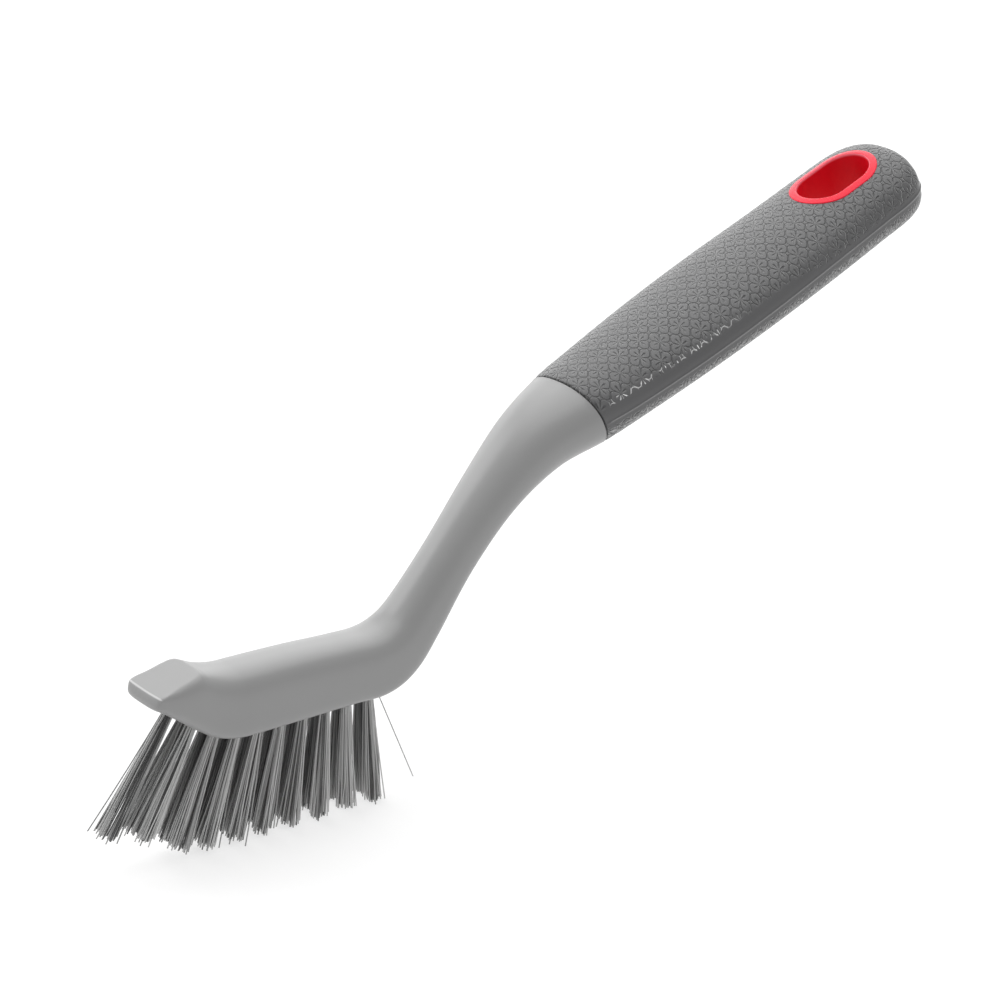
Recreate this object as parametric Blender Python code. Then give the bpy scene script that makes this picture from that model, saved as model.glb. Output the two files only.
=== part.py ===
"""Grout brush with a cranked handle, a soft grip with a hanging slot, and a narrow two-row head.

Units are metres and +Z is up. The brush stands on its bristle tips at Z = 0 with the underside
of the head level. +X runs from the nose of the head to the butt of the handle, and the brush is
symmetric about Y = 0 apart from one stray filament and the uneven trim of the bristles. The pieces
are laid out from just ahead of the nose, then the whole brush moves to centre its length on X = 0.
"""

import math
import random
from collections import namedtuple

import bmesh
import bpy
from mathutils import Matrix, Vector

# Driving dimensions, in metres, and in degrees for leans
MM = 0.001
BASE_Z = 28.3 * MM
CENTRE_X = 111.12 * MM
CLEARANCE = 0.3 * MM
RING_POINTS = 24
RING_SPACING = 4.5

# The flat facet on top of the nose
FACET_FRONT = Vector((4.5 * MM, 0, BASE_Z + 15.7 * MM))
FACET_SLOPE = math.radians(14.5)

# The straight grip, whose soft sleeve covers an inner tang
GRIP_START = Vector((126.7 * MM, 0, BASE_Z + 58.3 * MM))
GRIP_SLOPE = math.radians(22.8)
GRIP_LENGTH = 114.3
SLEEVE_WALL = 2.4
TANG_LENGTH = 111.8

# The hanging slot through the grip, and the liner that edges it
SLOT_CENTRE = 96.0 * MM
SLOT_LENGTH = 22.4 * MM
SLOT_WIDTH = 14.4 * MM
LINER_WALL = 1.6 * MM
LINER_PROUD = 0.3
SLOT_ARC_STEPS = 10

# Two rows of tufts behind a single one at the nose, each folded over a flat anchor in a blind hole
FRONT_TUFT_X = 9.0 * MM
FRONT_LEAN = 36
FRONT_TRIM = 32.0 * MM
FIRST_PAIR_X = 14.7 * MM
TUFT_PITCH = 6.21 * MM
ROW_OFFSET = 2.1 * MM
FORWARD_LEANS = [31, 24.5, 21, 17.5, 14.5, 11, 7, 2.5, -0.5]
OUTWARD_LEAN = 2.0
HOLE_DIAMETER = 3.3 * MM
HOLE_DEPTH = 6.3 * MM
HOLE_SIDES = 12
PLUG_DIAMETER = 2.8 * MM
PLUG_STAND_OUT = 0.2 * MM
STRANDS_ACROSS = 5
STRAND_GAP = 0.18 * MM
TRIM_LENGTH = 28.8 * MM
TRIM_VARIATION = 0.8 * MM
TIP_SPREAD = 1.5
STRAY_TUFT = "left_9"
STRAY_TIP = Vector((76.6 * MM, -3.0 * MM, BASE_Z - 25.8 * MM))
ANCHOR_SIZE = Vector((0.35 * MM, 2.3 * MM, 1.5 * MM))
ANCHOR_DEPTH = 4.4 * MM

# One cross-section of the handle, in millimetres over the base of the head: its centre, its tilt
# in degrees, its half sizes, and how square it is above and below the centre, where 2 is an ellipse
Section = namedtuple("Section", "x z tilt half_width half_height top bottom")


def upright(x, low, high, half_width, top, bottom):
    """A section of the head that stands upright between two heights."""
    return Section(x, (low + high) / 2, 0, half_width, (high - low) / 2, top, bottom)


def on_grip(distance, half_width, half_height, squareness=2.2):
    """A section square to the straight grip, at a distance from where the grip starts."""
    x = GRIP_START.x / MM + distance * math.cos(GRIP_SLOPE)
    z = (GRIP_START.z - BASE_Z) / MM + distance * math.sin(GRIP_SLOPE)
    tilt = math.degrees(GRIP_SLOPE)
    return Section(x, z, tilt, half_width, half_height, squareness, squareness)


BUTT_START = 96
BUTT_SQUARENESS = 2.25
HEAD = [
    upright(3.2, 12.9, 15.3, 6.2, 3.0, 3.0),
    upright(3.7, 12.1, 16.4, 7.3, 3.2, 3.2),
    upright(5.5, 11.0, 17.2, 8.1, 3.4, 4.0),
    upright(9.0, 8.7, 18.2, 8.4, 3.4, 4.5),
    upright(12.5, 5.9, 19.0, 8.6, 3.4, 5.0),
    upright(16.0, 3.3, 19.6, 8.6, 3.4, 5.5),
    upright(19.0, 1.7, 18.9, 8.6, 3.3, 6.0),
    upright(22.0, 0.7, 17.3, 8.6, 3.3, 6.5),
    upright(25.5, 0.15, 16.5, 8.6, 3.3, 7.0),
    upright(30.0, 0.0, 16.3, 8.6, 3.3, 7.0),
    upright(44.0, 0.0, 15.9, 8.5, 3.2, 7.0),
    upright(57.0, 0.0, 15.2, 8.3, 3.1, 7.0),
]
NECK = [
    Section(66.0, 7.5, 8, 8.2, 7.7, 2.9, 6.0),
    Section(73.0, 9.9, 27, 8.1, 7.5, 2.6, 3.6),
    Section(79.2, 15.5, 44, 7.7, 6.9, 2.4, 2.7),
    Section(89.8, 28.3, 50, 7.5, 6.1, 2.2, 2.2),
    Section(101.9, 41.9, 46, 8.7, 6.3, 2.1, 2.1),
    Section(114.2, 52.3, 33, 11.1, 7.7, 2.1, 2.1),
]
GRIP = [
    on_grip(0, 14.3, 8.8),
    on_grip(11, 16.2, 8.6),
    on_grip(33, 18.1, 8.8),
    on_grip(55, 18.6, 9.2),
    on_grip(77, 18.0, 9.4),
    on_grip(96, 17.1, 9.3, BUTT_SQUARENESS),
]
BUTT_RINGS = 7
BUTT_PLAN_SQUARENESS = 3.2
BUTT_SIDE_SQUARENESS = 4.4


def clear_scene():
    for scene_object in list(bpy.data.objects):
        bpy.data.objects.remove(scene_object, do_unlink=True)


def new_collection(name):
    collection = bpy.data.collections.new(name)
    bpy.context.scene.collection.children.link(collection)
    return collection


def new_material(name, colour, roughness, metallic=0.0):
    material = bpy.data.materials.new(name)
    material.use_nodes = True
    shader = material.node_tree.nodes["Principled BSDF"]
    shader.inputs["Base Color"].default_value = (*colour, 1.0)
    shader.inputs["Roughness"].default_value = roughness
    shader.inputs["Metallic"].default_value = metallic
    return material


def new_piece(name, shape, material, parent):
    """Turns a bmesh into a named object under the parent, and frees the bmesh."""
    mesh = bpy.data.meshes.new(name)
    shape.to_mesh(mesh)
    shape.free()
    mesh.materials.append(material)
    mesh.shade_smooth()
    mesh.set_sharp_from_angle(angle=math.radians(35))
    piece = bpy.data.objects.new(name, mesh)
    piece.parent = parent
    parent.users_collection[0].objects.link(piece)
    return piece


def new_cutter(name, shape, collection):
    mesh = bpy.data.meshes.new(name)
    shape.to_mesh(mesh)
    shape.free()
    cutter = bpy.data.objects.new(name, mesh)
    cutter.hide_render = True
    cutter.display_type = "WIRE"
    collection.objects.link(cutter)
    return cutter


def add_boolean(piece, cutter, operation="DIFFERENCE"):
    modifier = piece.modifiers.new(cutter.name, "BOOLEAN")
    modifier.operation = operation
    modifier.solver = "EXACT"
    modifier.object = cutter


def hermite(before, start, end, after, position):
    """The smooth curve through four values, between the middle two."""
    start_slope = (end - before) / 2
    end_slope = (after - start) / 2
    square = position * position
    cube = square * position
    return (
        (2 * cube - 3 * square + 1) * start
        + (cube - 2 * square + position) * start_slope
        + (3 * square - 2 * cube) * end
        + (cube - square) * end_slope
    )


def smoothed(sections):
    """The sections and further ones between them, on a smooth curve through them all."""
    padded = [sections[0], *sections, sections[-1]]
    result = []
    for first in range(len(sections) - 1):
        group = padded[first : first + 4]
        span = math.hypot(group[2].x - group[1].x, group[2].z - group[1].z)
        steps = max(1, round(span / RING_SPACING))
        for step in range(steps):
            values = [hermite(*parts, step / steps) for parts in zip(*group)]
            result.append(Section(*values))
    result.append(sections[-1])
    return result


def grown(section, amount):
    """The section with its half sizes grown by an amount in millimetres."""
    return section._replace(
        half_width=section.half_width + amount, half_height=section.half_height + amount
    )


def butt(growth, end):
    """Sections that round the butt off in plan and from the side, up to a distance on the grip."""
    start = grown(GRIP[-1], growth)
    sections = []
    for step in range(1, BUTT_RINGS + 1):
        reach = math.sin(math.radians(84) * step / BUTT_RINGS)
        width = (1 - reach**BUTT_PLAN_SQUARENESS) ** (1 / BUTT_PLAN_SQUARENESS)
        height = (1 - reach**BUTT_SIDE_SQUARENESS) ** (1 / BUTT_SIDE_SQUARENESS)
        distance = BUTT_START + (end - BUTT_START) * reach
        sides = (start.half_width * width, start.half_height * height)
        sections.append(on_grip(distance, *sides, BUTT_SQUARENESS))
    return sections


def signed_power(value, power):
    return math.copysign(abs(value) ** power, value)


def section_points(section):
    """World points round one section, starting at the -Y side and going over the top."""
    centre = Vector((section.x * MM, 0, BASE_Z + section.z * MM))
    tilt = math.radians(section.tilt)
    up = Vector((-math.sin(tilt), 0, math.cos(tilt)))
    side = Vector((0, -1, 0))
    points = []
    for index in range(RING_POINTS):
        angle = 2 * math.pi * index / RING_POINTS
        squareness = section.top if math.sin(angle) >= 0 else section.bottom
        across = signed_power(math.cos(angle), 2 / squareness) * section.half_width * MM
        height = signed_power(math.sin(angle), 2 / squareness) * section.half_height * MM
        points.append(centre + side * across + up * height)
    return points


def ring_edges(ring):
    """The edges of a circle, given its vertices in order."""
    pairs = zip(ring, ring[1:] + ring[:1])
    return [edge for first, second in pairs for edge in first.link_edges if second in edge.verts]


def loft(sections):
    """A closed body through the sections."""
    shape = bmesh.new()
    rings = []
    for section in sections:
        capped = section in (sections[0], sections[-1])
        ring = bmesh.ops.create_circle(shape, cap_ends=capped, segments=RING_POINTS, radius=MM)
        for vertex, point in zip(ring["verts"], section_points(section)):
            vertex.co = point
        rings.append(ring["verts"])
    for first, second in zip(rings, rings[1:]):
        bmesh.ops.bridge_loops(shape, edges=ring_edges(first) + ring_edges(second))
    bmesh.ops.recalc_face_normals(shape, faces=shape.faces)
    return shape


def grip_loft(growth, start, end):
    """The grip's outer shape, grown by an amount, from one distance along the grip to another."""
    first = grown(GRIP[0], growth)
    first = on_grip(start, first.half_width, first.half_height)
    middle = [grown(section, growth) for section in smoothed(GRIP)[1:]]
    return loft([first, *middle, *butt(growth, end)])


def slot_prism(growth):
    """A stadium-shaped block along the hanging slot, longer than the grip is thick."""
    radius = SLOT_WIDTH / 2 + growth
    straight = (SLOT_LENGTH - SLOT_WIDTH) / 2
    shape = bmesh.new()
    outline = []
    for end in (1, -1):
        for step in range(SLOT_ARC_STEPS + 1):
            angle = math.pi * (step / SLOT_ARC_STEPS - 0.5)
            x = end * (straight + radius * math.cos(angle))
            outline.append(shape.verts.new((x, end * radius * math.sin(angle), -20 * MM)))
    face = shape.faces.new(outline)
    extruded = bmesh.ops.extrude_face_region(shape, geom=[face])["geom"]
    far_end = [item for item in extruded if isinstance(item, bmesh.types.BMVert)]
    bmesh.ops.translate(shape, verts=far_end, vec=(0, 0, 40 * MM))
    bmesh.ops.recalc_face_normals(shape, faces=shape.faces)
    along = Vector((math.cos(GRIP_SLOPE), 0, math.sin(GRIP_SLOPE)))
    place = Matrix.Translation(GRIP_START + along * SLOT_CENTRE)
    bmesh.ops.transform(shape, matrix=place @ Matrix.Rotation(-GRIP_SLOPE, 4, "Y"), verts=shape.verts)
    return shape


def facet_block():
    """A block whose underside is the plane of the nose facet."""
    shape = bmesh.new()
    size = 50 * MM
    bmesh.ops.create_cube(shape, size=size)
    lift = Matrix.Translation((0, 0, size / 2))
    place = Matrix.Translation(FACET_FRONT) @ Matrix.Rotation(-FACET_SLOPE, 4, "Y") @ lift
    bmesh.ops.transform(shape, matrix=place, verts=shape.verts)
    return shape


def underside(x):
    """Height of the underside of the head, in metres, under a point in metres from the origin."""
    sections = smoothed(HEAD)
    for first, second in zip(sections, sections[1:]):
        if first.x * MM <= x <= second.x * MM:
            share = (x / MM - first.x) / (second.x - first.x)
            low = first.z - first.half_height
            return BASE_Z + MM * (low + share * (second.z - second.half_height - low))
    return BASE_Z


class TuftPlace:
    """Where a tuft's hole opens, and the frame whose Z axis runs out of the hole along the tuft."""

    def __init__(self, x, side, forward_lean, trim):
        lean = Matrix.Rotation(math.radians(forward_lean), 4, "Y")
        outward = Matrix.Rotation(math.radians(OUTWARD_LEAN) * side, 4, "X")
        over = Matrix.Rotation(math.pi, 4, "X")
        mouth = Matrix.Translation((x, side * ROW_OFFSET, underside(x)))
        self.matrix = mouth @ outward @ lean @ over
        self.trim = trim


def tuft_places():
    """The places of all the tufts, by the ends of their names."""
    places = {"front": TuftPlace(FRONT_TUFT_X, 0, FRONT_LEAN, FRONT_TRIM)}
    for row, side in (("left", -1), ("right", 1)):
        for index, lean in enumerate(FORWARD_LEANS):
            x = FIRST_PAIR_X + TUFT_PITCH * index
            places[f"{row}_{index + 1}"] = TuftPlace(x, side, lean, TRIM_LENGTH)
    return places


def tuft_holes(places):
    """One cylinder for each blind hole, as a single cutter."""
    shape = bmesh.new()
    reach = 4 * MM
    for place in places:
        middle = Matrix.Translation((0, 0, (reach - HOLE_DEPTH) / 2))
        bmesh.ops.create_cone(
            shape,
            cap_ends=True,
            segments=HOLE_SIDES,
            radius1=HOLE_DIAMETER / 2,
            radius2=HOLE_DIAMETER / 2,
            depth=HOLE_DEPTH + reach,
            matrix=place.matrix @ middle,
        )
    return shape


def anchor_block(growth, place):
    """The flat anchor across the fold of a tuft, or with growth the space round it."""
    size = ANCHOR_SIZE + Vector((growth, growth, growth)) * 2
    shape = bmesh.new()
    bmesh.ops.create_cube(shape, size=1)
    scale = Matrix.Diagonal((*size, 1))
    bmesh.ops.transform(
        shape,
        matrix=place.matrix @ Matrix.Translation((0, 0, -ANCHOR_DEPTH)) @ scale,
        verts=shape.verts,
    )
    return shape


def plug_face(shape):
    """The round outer face of a tuft's plug, divided into one cell for each strand."""
    bmesh.ops.create_grid(
        shape, x_segments=STRANDS_ACROSS, y_segments=STRANDS_ACROSS, size=PLUG_DIAMETER / 2
    )
    corners = [cell for cell in shape.faces if cell.calc_center_median().length > PLUG_DIAMETER / 2]
    bmesh.ops.delete(shape, geom=corners, context="FACES")
    for vertex in shape.verts:
        if vertex.is_boundary:
            vertex.co = vertex.co.normalized() * PLUG_DIAMETER / 2
    bmesh.ops.translate(shape, verts=shape.verts, vec=(0, 0, PLUG_STAND_OUT))


def close_plug(shape):
    """Draws the rim of the plug's face down into the hole and caps it there."""
    rim = [edge for edge in shape.edges if edge.is_boundary]
    drawn = bmesh.ops.extrude_edge_only(shape, edges=rim)["geom"]
    lower = [item for item in drawn if isinstance(item, bmesh.types.BMVert)]
    for vertex in lower:
        vertex.co.z = CLEARANCE - HOLE_DEPTH
    bmesh.ops.contextual_create(shape, geom=[edge for edge in shape.edges if edge.is_boundary])


def bristle_tuft(place, seed, with_stray):
    """A plug of folded filaments with a sheaf of straight strands standing out of it."""
    chance = random.Random(seed)
    shape = bmesh.new()
    plug_face(shape)
    cells = list(shape.faces)
    bmesh.ops.inset_individual(shape, faces=cells, thickness=STRAND_GAP / 2, use_even_offset=True)
    strands = bmesh.ops.extrude_discrete_faces(shape, faces=cells)["faces"]
    close_plug(shape)
    stray_tip = place.matrix.inverted() @ STRAY_TIP
    stray = min(strands, key=lambda face: (face.calc_center_median() - stray_tip).length)
    for face in strands:
        centre = face.calc_center_median()
        length = place.trim - PLUG_STAND_OUT + chance.uniform(-1, 1) * TRIM_VARIATION
        move = Vector((centre.x, centre.y, 0)) * (TIP_SPREAD - 1) + Vector((0, 0, length))
        if with_stray and face is stray:
            move = stray_tip - centre
        bmesh.ops.translate(shape, verts=face.verts, vec=move)
    bmesh.ops.recalc_face_normals(shape, faces=shape.faces)
    bmesh.ops.transform(shape, matrix=place.matrix, verts=shape.verts)
    trim_flat({vertex for face in strands for vertex in face.verts})
    return shape


def trim_flat(tips):
    """Cuts the strands off at the surface that the brush stands on."""
    for tip in tips:
        if tip.co.z < 0:
            root = max((edge.other_vert(tip).co for edge in tip.link_edges), key=lambda point: point.z)
            tip.co += (root - tip.co) * (-tip.co.z / (root.z - tip.co.z))


def build():
    clear_scene()
    parts = new_collection("grout_brush")
    cutters = new_collection("cutters")
    root = bpy.data.objects.new("grout_brush_origin", None)
    parts.objects.link(root)

    body_plastic = new_material("body_plastic", (0.50, 0.50, 0.50), 0.38)
    grip_rubber = new_material("grip_rubber", (0.13, 0.13, 0.13), 0.62)
    liner_red = new_material("liner_red", (0.80, 0.02, 0.04), 0.35)
    filament = new_material("filament", (0.30, 0.30, 0.29), 0.45)
    anchor_metal = new_material("anchor_metal", (0.72, 0.66, 0.48), 0.35, 1.0)

    places = tuft_places()
    facet_cut = new_cutter("facet_cut", facet_block(), cutters)
    hole_cut = new_cutter("tuft_hole_cut", tuft_holes(places.values()), cutters)
    slot_cut = new_cutter("slot_cut", slot_prism(LINER_WALL + CLEARANCE), cutters)
    liner_bore = new_cutter("liner_bore", slot_prism(0), cutters)
    proud_grip = grip_loft(LINER_PROUD, -2, GRIP_LENGTH + LINER_PROUD)
    liner_envelope = new_cutter("liner_envelope", proud_grip, cutters)
    tang_space = new_cutter(
        "tang_space",
        grip_loft(CLEARANCE / MM - SLEEVE_WALL, -2, TANG_LENGTH + CLEARANCE / MM),
        cutters,
    )

    outer = smoothed([*HEAD, *NECK, *GRIP])
    neck_end = outer.index(GRIP[0])
    tang = [grown(section, -SLEEVE_WALL) for section in smoothed(GRIP)]
    body_shape = loft([*outer[: neck_end + 1], *tang, *butt(-SLEEVE_WALL, TANG_LENGTH)])
    body = new_piece("handle_body", body_shape, body_plastic, root)
    for cutter in (facet_cut, hole_cut, slot_cut):
        add_boolean(body, cutter)

    sleeve = new_piece("grip_sleeve", grip_loft(0, CLEARANCE / MM, GRIP_LENGTH), grip_rubber, root)
    for cutter in (tang_space, slot_cut):
        add_boolean(sleeve, cutter)

    liner = new_piece("hang_slot_liner", slot_prism(LINER_WALL), liner_red, root)
    add_boolean(liner, liner_envelope, "INTERSECT")
    add_boolean(liner, liner_bore)

    for seed, (name, place) in enumerate(places.items()):
        tuft_shape = bristle_tuft(place, seed, name == STRAY_TUFT)
        tuft = new_piece(f"tuft_{name}", tuft_shape, filament, root)
        space = new_cutter(f"anchor_space_{name}", anchor_block(CLEARANCE, place), cutters)
        add_boolean(tuft, space)
        new_piece(f"anchor_{name}", anchor_block(0, place), anchor_metal, root)

    for cutter in cutters.objects:
        cutter.parent = root
    root.location.x = -CENTRE_X


build()
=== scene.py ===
# %% [markdown]
# # A grout brush
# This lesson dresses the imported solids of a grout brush: a narrow head with leaning tufts, a cranked
# neck, a soft grip with a fine relief, and a red liner round the hanging slot. The solids are loaded
# first, because every piece made here has to sit where they are.

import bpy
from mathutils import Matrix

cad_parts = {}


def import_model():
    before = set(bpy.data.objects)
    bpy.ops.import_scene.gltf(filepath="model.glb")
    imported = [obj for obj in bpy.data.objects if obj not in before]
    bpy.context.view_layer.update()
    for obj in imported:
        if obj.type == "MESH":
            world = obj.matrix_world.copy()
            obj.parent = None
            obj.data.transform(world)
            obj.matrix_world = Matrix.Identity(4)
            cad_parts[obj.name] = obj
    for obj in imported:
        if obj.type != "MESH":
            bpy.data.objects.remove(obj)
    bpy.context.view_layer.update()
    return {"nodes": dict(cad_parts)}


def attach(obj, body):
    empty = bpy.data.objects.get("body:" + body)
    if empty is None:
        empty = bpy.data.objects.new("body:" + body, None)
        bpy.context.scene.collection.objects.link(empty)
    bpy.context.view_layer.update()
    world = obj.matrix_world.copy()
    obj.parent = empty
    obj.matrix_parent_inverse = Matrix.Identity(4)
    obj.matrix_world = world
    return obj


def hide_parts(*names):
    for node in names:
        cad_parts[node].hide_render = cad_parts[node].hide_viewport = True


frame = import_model()
print("packed nodes:", len(frame["nodes"]))

# %% Tools used throughout
import math
import random
from collections import namedtuple

import bmesh
import bpy
from mathutils import Matrix, Vector

MM = 0.001
print("Blender", bpy.app.version_string)

# %% [markdown]
# ## Sections of the handle
# The head, neck and grip are one flowing bar, so the bar is described by its cross-sections. Each has
# a centre, a tilt, two half sizes, and a squareness above and below: 2 is an ellipse and more is
# closer to a box. Lengths are in millimetres, x from just ahead of the nose, z from the underside of
# the head. A smooth curve through the sections gives as many more as a fine surface needs.

# %% Where the sections are in the world
HEAD_BASE = 28.3
MIDDLE_X = 111.12

Section = namedtuple("Section", "x z tilt half_width half_height top bottom")


def world(x, y, z):
    """A point given in millimetres over the base of the head, as a point of the scene."""
    return Vector(((x - MIDDLE_X) * MM, y * MM, (z + HEAD_BASE) * MM))


def upright(x, low, high, half_width, top, bottom):
    """A section of the head that stands upright between two heights."""
    return Section(x, (low + high) / 2, 0, half_width, (high - low) / 2, top, bottom)


print("a point on the head's base:", world(30, 0, 0))

# %% Sections square to the straight grip
GRIP_X = 126.7
GRIP_Z = 58.3
GRIP_SLOPE = math.radians(22.65)
GRIP_LENGTH = 113.8


def on_grip(distance, half_width, half_height, top=2.2, bottom=2.2):
    """A section square to the grip, at a distance from where the grip starts."""
    x = GRIP_X + distance * math.cos(GRIP_SLOPE)
    z = GRIP_Z + distance * math.sin(GRIP_SLOPE)
    tilt = math.degrees(GRIP_SLOPE)
    return Section(x, z, tilt, half_width, half_height, top, bottom)


print("the grip starts at:", world(GRIP_X, 0, GRIP_Z))

# %% The sections that are given
NOSE = [
    upright(2.8, 13.2, 13.6, 0.6, 2.0, 2.0),
    upright(2.87, 12.9, 13.95, 4.4, 2.6, 2.6),
    upright(3.1, 12.7, 14.45, 5.9, 3.0, 2.9),
    upright(3.4, 12.4, 15.0, 6.7, 3.4, 3.0),
    upright(3.75, 12.15, 15.65, 7.1, 3.8, 3.1),
    upright(4.1, 11.95, 16.3, 7.4, 4.2, 3.3),
    upright(4.4, 11.8, 16.75, 7.5, 4.2, 3.4),
]
HEAD = [
    upright(5.5, 11.1, 17.1, 7.8, 3.9, 3.8),
    upright(9.0, 8.6, 17.85, 8.25, 3.6, 4.5),
    upright(12.5, 5.9, 18.85, 8.5, 3.6, 5.0),
    upright(15.0, 4.1, 19.3, 8.6, 3.5, 5.3),
    upright(16.8, 2.9, 18.65, 8.6, 3.3, 5.7),
    upright(19.0, 1.7, 17.7, 8.6, 3.1, 6.0),
    upright(22.0, 0.7, 16.9, 8.6, 2.9, 6.5),
    upright(25.5, 0.15, 16.4, 8.6, 2.8, 7.0),
    upright(30.0, 0.0, 16.3, 8.6, 2.8, 7.0),
    upright(44.0, 0.0, 15.9, 8.5, 2.8, 7.0),
    upright(57.0, 0.0, 15.2, 8.3, 2.8, 7.0),
]
NECK = [
    Section(66.0, 7.5, 8, 8.2, 7.7, 2.8, 6.0),
    Section(73.0, 9.9, 27, 8.0, 7.45, 2.6, 3.6),
    Section(79.2, 15.5, 44, 7.45, 6.75, 2.4, 2.7),
    Section(89.8, 28.3, 50, 7.4, 6.0, 2.2, 2.2),
    Section(101.9, 41.9, 46, 8.7, 6.35, 2.1, 2.1),
    Section(114.2, 52.3, 33, 11.1, 7.8, 2.1, 2.1),
]
BEFORE_BUTT = 77
BUTT_START = 96
BUTT_TOP = 2.3
BUTT_BOTTOM = 2.35
GRIP = [
    on_grip(0, 14.3, 8.8),
    on_grip(11, 16.2, 8.6),
    on_grip(33, 18.1, 8.8),
    on_grip(55, 18.45, 9.2, 2.15, 2.25),
    on_grip(BEFORE_BUTT, 17.7, 9.4, 2.12, 2.35),
    on_grip(BUTT_START, 16.85, 9.4, BUTT_TOP, BUTT_BOTTOM),
]
BAR = [*NOSE, *HEAD, *NECK, *GRIP]
NOSE_END = BAR.index(HEAD[6])
NECK_END = BAR.index(GRIP[0])
print("sections in the bar:", len(BAR))

# %% A smooth run of sections through the given ones


def hermite(before, start, end, after, position):
    """The smooth curve through four values, between the middle two."""
    start_slope = (end - before) / 2
    end_slope = (after - start) / 2
    square = position * position
    cube = square * position
    return (
        (2 * cube - 3 * square + 1) * start
        + (cube - 2 * square + position) * start_slope
        + (3 * square - 2 * cube) * end
        + (cube - square) * end_slope
    )


def smoothed(sections, first, last, spacing):
    """Sections on the smooth curve, from number first to number last, about a spacing apart."""
    padded = [sections[0], *sections, sections[-1]]
    result = []
    for index in range(first, last):
        group = padded[index : index + 4]
        span = math.hypot(group[2].x - group[1].x, group[2].z - group[1].z)
        steps = max(2, round(span / spacing))
        for step in range(steps):
            result.append(Section(*[hermite(*parts, step / steps) for parts in zip(*group)]))
    result.append(sections[last])
    return result


def grown(section, amount):
    """The section with its half sizes grown by an amount."""
    return section._replace(
        half_width=section.half_width + amount, half_height=section.half_height + amount
    )


print("sections a millimetre apart:", len(smoothed(BAR, 0, len(BAR) - 1, 1.0)))

# %% A point on a section


def signed_power(value, power):
    """A power that keeps the sign of its value."""
    return math.copysign(abs(value) ** power, value)


def on_section(section, angle):
    """The point of the scene on a section at an angle that starts at the -Y side, going over."""
    squareness = section.top if math.sin(angle) >= 0 else section.bottom
    across = signed_power(math.cos(angle), 2 / squareness) * section.half_width
    height = signed_power(math.sin(angle), 2 / squareness) * section.half_height
    tilt = math.radians(section.tilt)
    return world(
        section.x - height * math.sin(tilt), -across, section.z + height * math.cos(tilt)
    )


print("the crown where the grip starts:", on_section(GRIP[0], math.pi / 2))

# %% [markdown]
# ## Wrapping a sheet into a tube
# A long closed body is a sheet rolled round its sections. The grid operator makes the sheet with its
# texture coordinates, each point moves to its section and angle, and merging the two long edges
# closes the tube. This keeps the faces in neat rows, which take a relief and a soft shine well.

# %% The rolled sheet
MERGE_DISTANCE = 0.001 * MM


def wrapped(sections, angles, place=on_section):
    """A sheet rolled through the sections, with its long edges touching and its ends open."""
    shape = bmesh.new()
    shape.loops.layers.uv.new("sheet")
    rows = len(sections) - 1
    columns = len(angles) - 1
    bmesh.ops.create_grid(shape, x_segments=rows, y_segments=columns, size=0.5, calc_uvs=True)
    for vertex in shape.verts:
        row = round((vertex.co.x + 0.5) * rows)
        column = round((vertex.co.y + 0.5) * columns)
        vertex.co = place(sections[row], angles[column])
    return shape


def close_round(shape):
    """Merges the sheet's long edges and caps its open ends."""
    bmesh.ops.remove_doubles(shape, verts=shape.verts, dist=MERGE_DISTANCE)
    rims = [edge for edge in shape.edges if edge.is_boundary]
    bmesh.ops.holes_fill(shape, edges=rims, sides=0)
    bmesh.ops.recalc_face_normals(shape, faces=shape.faces)


def turn(count):
    """Angles all the way round, evenly spaced, with the first one again at the end."""
    return [2 * math.pi * index / count for index in range(count + 1)]


print("a ring of 8 has", len(turn(8)), "angles")

# %% [markdown]
# ## Showing and cutting a piece
# A bmesh lives only while it is being shaped. To be seen it becomes a mesh on an object, with a
# material, smooth faces, and sharp edges where the surface really turns. Holes could be modelled
# face by face, but a Boolean modifier cuts them cleanly through any surface, and its result is kept
# as the piece's own mesh.

# %% Turning a bmesh into a shown piece


def show(name, shape, material, slot, *nodes, crease=35):
    """Names a bmesh as a piece of the brush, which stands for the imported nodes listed."""
    mesh = bpy.data.meshes.new(name)
    shape.to_mesh(mesh)
    shape.free()
    mesh.materials.append(material)
    mesh.shade_smooth()
    mesh.set_sharp_from_angle(angle=math.radians(crease))
    piece = bpy.data.objects.new(name, mesh)
    bpy.context.scene.collection.objects.link(piece)
    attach(piece, "root")
    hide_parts(*nodes)
    print(name, "has", len(mesh.polygons), "faces")
    return piece


def cut(piece, cutter):
    """Takes the cutter's space out of the piece for good, and drops the cutter."""
    mesh = bpy.data.meshes.new("cutter")
    cutter.to_mesh(mesh)
    cutter.free()
    tool = bpy.data.objects.new("cutter", mesh)
    bpy.context.scene.collection.objects.link(tool)
    modifier = piece.modifiers.new("cut", "BOOLEAN")
    modifier.operation = "DIFFERENCE"
    modifier.solver = "EXACT"
    modifier.object = tool
    graph = bpy.context.evaluated_depsgraph_get()
    result = bpy.data.meshes.new_from_object(piece.evaluated_get(graph))
    piece.modifiers.clear()
    old = piece.data
    piece.data = result
    result.name = piece.name
    bpy.data.meshes.remove(old)
    bpy.data.objects.remove(tool)
    bpy.data.meshes.remove(mesh)
    print(piece.name, "has", len(result.polygons), "faces after its cut")


print("piece tools ready")

# %% [markdown]
# ## A small language for finishes
# A finish is a sum of masks and patterns. Wiring Math nodes by hand hides the sum, so one class wraps
# a socket and lets Python's own signs build the nodes, and another makes a material and any other
# node by its type, its settings and its inputs.

# %% Sockets that take sums


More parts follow.
